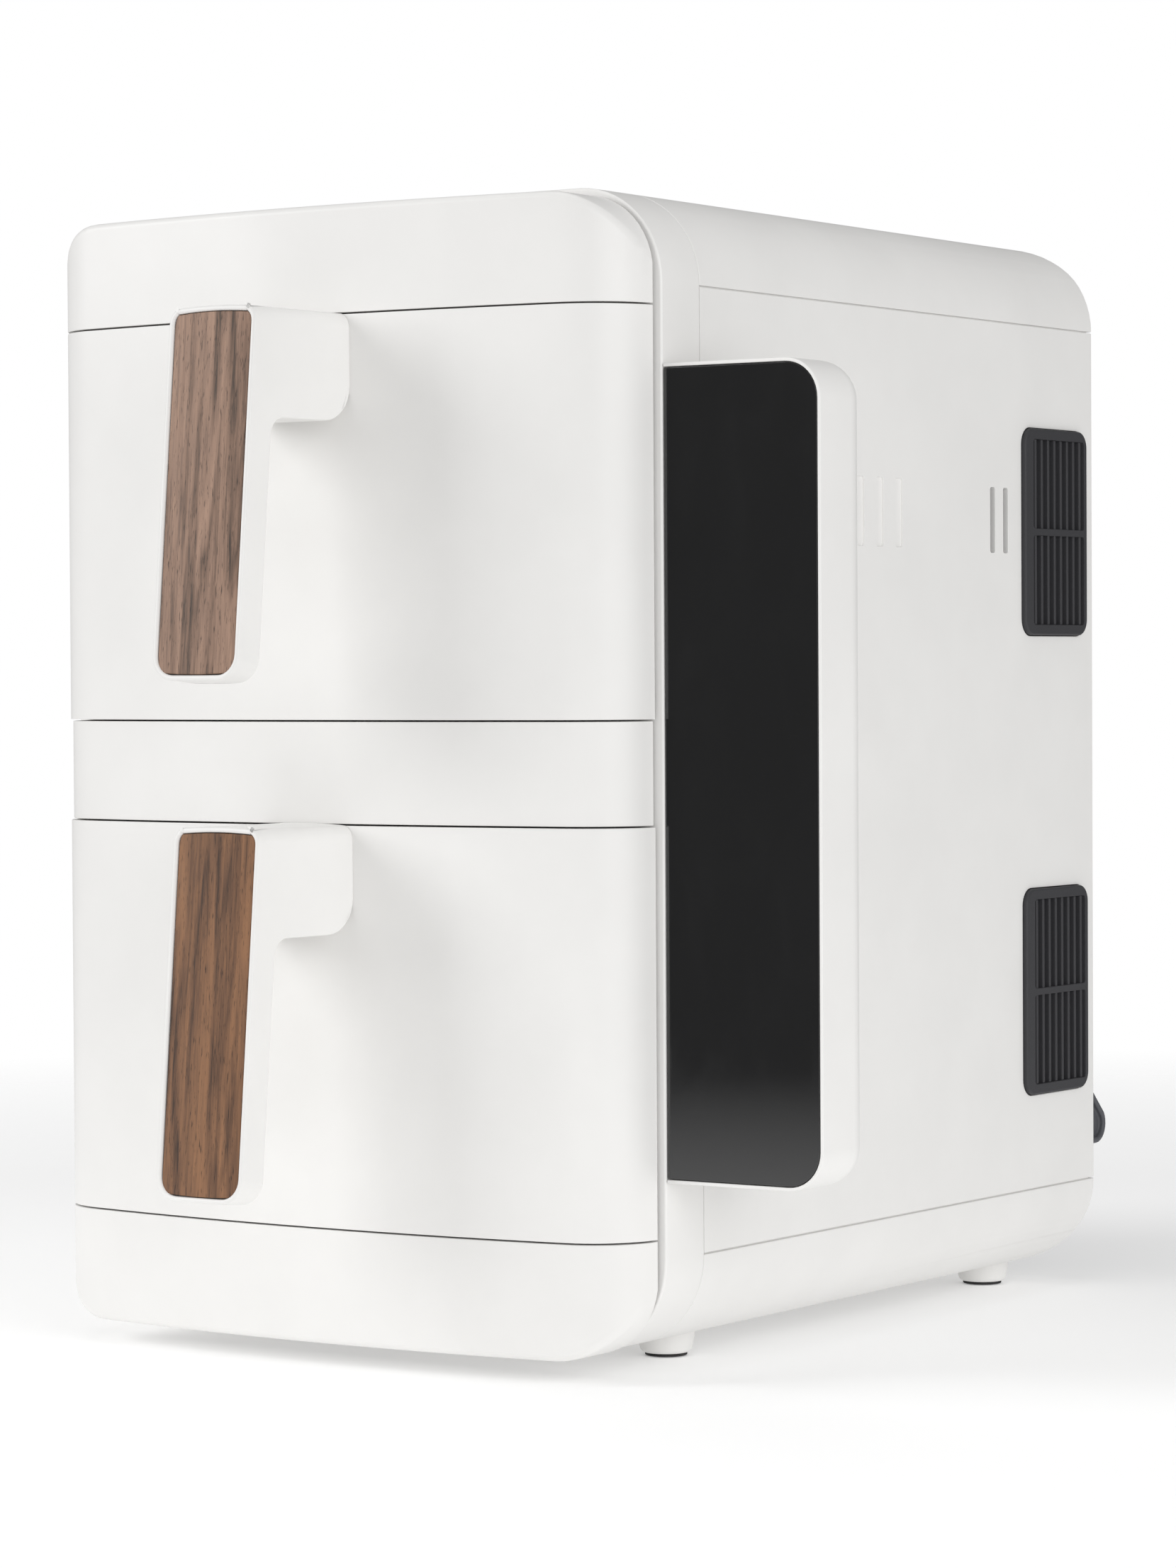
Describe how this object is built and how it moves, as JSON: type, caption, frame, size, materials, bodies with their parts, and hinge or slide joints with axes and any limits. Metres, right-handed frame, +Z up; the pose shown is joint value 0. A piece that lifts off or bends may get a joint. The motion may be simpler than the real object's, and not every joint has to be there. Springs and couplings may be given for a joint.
{
  "type": "air fryer",
  "caption": "Two-drawer stacked air fryer with a bowed white front, leaning wood-faced handles and a black touch panel in a pod on its right side.",
  "frame": {"origin": "middle of the footprint, handles, control pod and rear spacers included, on the surface that the feet stand on", "axes": "+Z up, drawers open towards -Y, the control pod stands on the +X side"},
  "size_m": [0.3154, 0.4178, 0.4],
  "materials": {
    "body_white": "warm white satin moulded plastic",
    "grille_charcoal": "fine matt charcoal moulded plastic",
    "glass_black": "glossy near-black touch panel",
    "wood_walnut": "walnut grain, satin",
    "plastic_grey": "dark grey moulded plastic",
    "rubber_black": "black rubber",
    "steel_coated": "dark non-stick coating on steel",
    "steel_bare": "plain aluminised steel sheet",
    "steel_dark": "dark heat-toned steel",
    "circuit_board": "green solder mask"
  },
  "bodies": {
    "housing": {"upper_fascia": "body_white", "middle_fascia": "body_white", "lower_fascia": "body_white", "front_frame": "body_white", "top_cover": "body_white", "base_cover": "body_white", "back_panel": "plastic_grey", "rear_bulkhead": "steel_bare", "power_board": "circuit_board", "cord_bush": "plastic_grey", "left_side_panel": "body_white", "left_rear_spacer": "plastic_grey", "left_lower_grille": "grille_charcoal", "left_upper_grille": "grille_charcoal", "front_left_foot": "body_white", "front_left_foot_pad": "rubber_black", "rear_left_foot": "body_white", "rear_left_foot_pad": "rubber_black", "right_side_panel": "body_white", "right_rear_spacer": "plastic_grey", "right_lower_grille": "grille_charcoal", "right_upper_grille": "grille_charcoal", "front_right_foot": "body_white", "front_right_foot_pad": "rubber_black", "rear_right_foot": "body_white", "rear_right_foot_pad": "rubber_black", "control_housing": "body_white", "control_glass": "glass_black", "touch_board": "circuit_board", "lower_oven_liner": "steel_bare", "lower_heating_element": "steel_dark", "lower_fan_guard": "steel_bare", "lower_fan_motor": "steel_dark", "upper_oven_liner": "steel_bare", "upper_heating_element": "steel_dark", "upper_fan_guard": "steel_bare", "upper_fan_motor": "steel_dark"},
    "lower_drawer": {"lower_drawer_front": "body_white", "lower_drawer_back_plate": "plastic_grey", "lower_handle_bracket": "body_white", "lower_handle_inlay": "wood_walnut", "lower_basket": "steel_coated"},
    "lower_plate": {"lower_crisper_plate": "steel_coated"},
    "lower_fan": {"lower_circulation_fan": "steel_bare", "lower_fan_shaft": "steel_dark", "lower_cooling_fan": "grille_charcoal"},
    "upper_drawer": {"upper_drawer_front": "body_white", "upper_drawer_back_plate": "plastic_grey", "upper_handle_bracket": "body_white", "upper_handle_inlay": "wood_walnut", "upper_basket": "steel_coated"},
    "upper_plate": {"upper_crisper_plate": "steel_coated"},
    "upper_fan": {"upper_circulation_fan": "steel_bare", "upper_fan_shaft": "steel_dark", "upper_cooling_fan": "grille_charcoal"}
  },
  "joints": [
    {"name": "lower_drawer_slide", "type": "slide", "parent": "housing", "child": "lower_drawer", "axis": [0, -1, 0], "range_m": [0, 0.19]},
    {"name": "lower_plate_lift", "type": "slide", "parent": "lower_drawer", "child": "lower_plate", "axis": [0, 0, 1], "range_m": [0, 0.05]},
    {"name": "lower_fan_spin", "type": "hinge", "parent": "housing", "child": "lower_fan", "pos_m": [-0.0297, 0.12245, 0.11685], "axis": [0, 1, 0], "continuous": true},
    {"name": "upper_drawer_slide", "type": "slide", "parent": "housing", "child": "upper_drawer", "axis": [0, -1, 0], "range_m": [0, 0.19]},
    {"name": "upper_plate_lift", "type": "slide", "parent": "upper_drawer", "child": "upper_plate", "axis": [0, 0, 1], "range_m": [0, 0.05]},
    {"name": "upper_fan_spin", "type": "hinge", "parent": "housing", "child": "upper_fan", "pos_m": [-0.0297, 0.12245, 0.29055], "axis": [0, 1, 0], "continuous": true}
  ]
}
